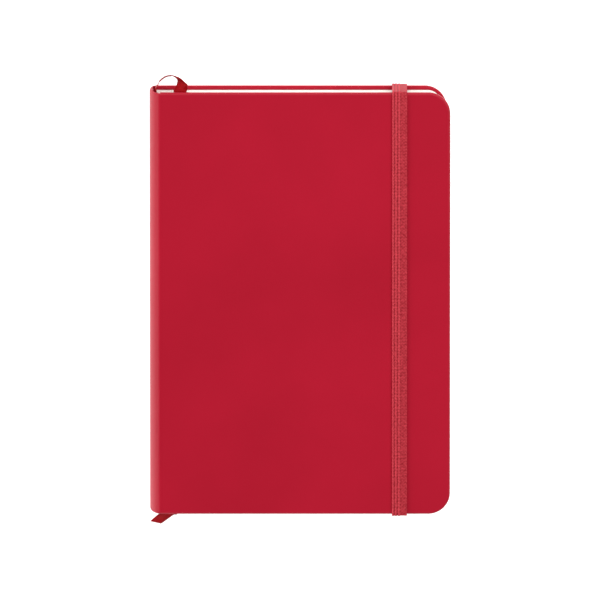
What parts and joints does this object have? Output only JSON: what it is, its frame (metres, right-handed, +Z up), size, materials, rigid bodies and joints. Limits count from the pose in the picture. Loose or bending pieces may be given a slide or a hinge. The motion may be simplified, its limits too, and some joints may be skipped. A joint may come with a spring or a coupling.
{
  "type": "pocket notebook",
  "caption": "Hardcover pocket notebook in smooth red faux leather with sewn pages, a ribbon marker and a vertical elastic closure band.",
  "frame": {"origin": "on the back cover's outer face, which the closed notebook rests on, midway across the closed notebook's width and height", "axes": "+X towards the fore-edge, +Y towards the head, +Z up through the closed notebook to the front cover"},
  "size_m": [0.105, 0.1613, 0.0142],
  "materials": {
    "leather": "smooth matt faux leather with a fine grain and a soft sheen",
    "board": "grey-brown bookbinding board",
    "endpaper": "smooth warm white endpaper",
    "paper": "uncoated warm white writing paper",
    "thread": "waxed white sewing thread",
    "mull": "open-weave binding cloth",
    "lining": "brown lining paper",
    "ribbon": "satin-woven ribbon in dark red",
    "elastic": "woven elastic with fine lengthwise ribs"
  },
  "bodies": {
    "book": {"back_board": "board", "back_cover_skin": "leather", "front_joint_skin": "leather", "back_joint_skin": "leather", "spine_skin": "leather", "spine_strip": "board", "back_pastedown": "endpaper", "back_flyleaf": "endpaper", "first_gathering_back_leaves": "paper", "gathering_2": "paper", "gathering_3": "paper", "gathering_4": "paper", "gathering_5": "paper", "gathering_6": "paper", "gathering_7": "paper", "gathering_8": "paper", "sewing_thread": "thread", "spine_mull": "mull", "spine_lining_paper": "lining", "ribbon_marker": "ribbon", "elastic_end_head": "elastic", "elastic_end_tail": "elastic"},
    "front_cover": {"front_board": "board", "front_cover_skin": "leather", "front_pastedown": "endpaper"},
    "flyleaf": {"front_flyleaf": "endpaper"},
    "turned_leaves": {"first_gathering_front_leaves": "paper"},
    "elastic": {"elastic_band": "elastic"}
  },
  "joints": [
    {"name": "cover_hinge", "type": "hinge", "parent": "book", "child": "front_cover", "pos_m": [-0.0505, 0, 0.0116], "axis": [0, -1, 0], "range_deg": [0, 179], "deforming": ["front_joint_skin", "elastic_band"]},
    {"name": "flyleaf_turn", "type": "hinge", "parent": "book", "child": "flyleaf", "pos_m": [-0.0505, 0, 0.0116], "axis": [0, -1, 0], "range_deg": [0, 177]},
    {"name": "leaf_turn", "type": "hinge", "parent": "book", "child": "turned_leaves", "pos_m": [-0.0505, 0, 0.0116], "axis": [0, -1, 0], "range_deg": [0, 175]},
    {"name": "elastic_swing", "type": "hinge", "parent": "book", "child": "elastic", "pos_m": [0.0348, 0, 0.00033], "axis": [0, 1, 0], "range_deg": [0, 180], "deforming": ["elastic_band"]}
  ],
  "couplings": [
    {"joint": "flyleaf_turn", "follows": "cover_hinge", "ratio": 0.985},
    {"joint": "leaf_turn", "follows": "cover_hinge", "ratio": 0.97}
  ]
}
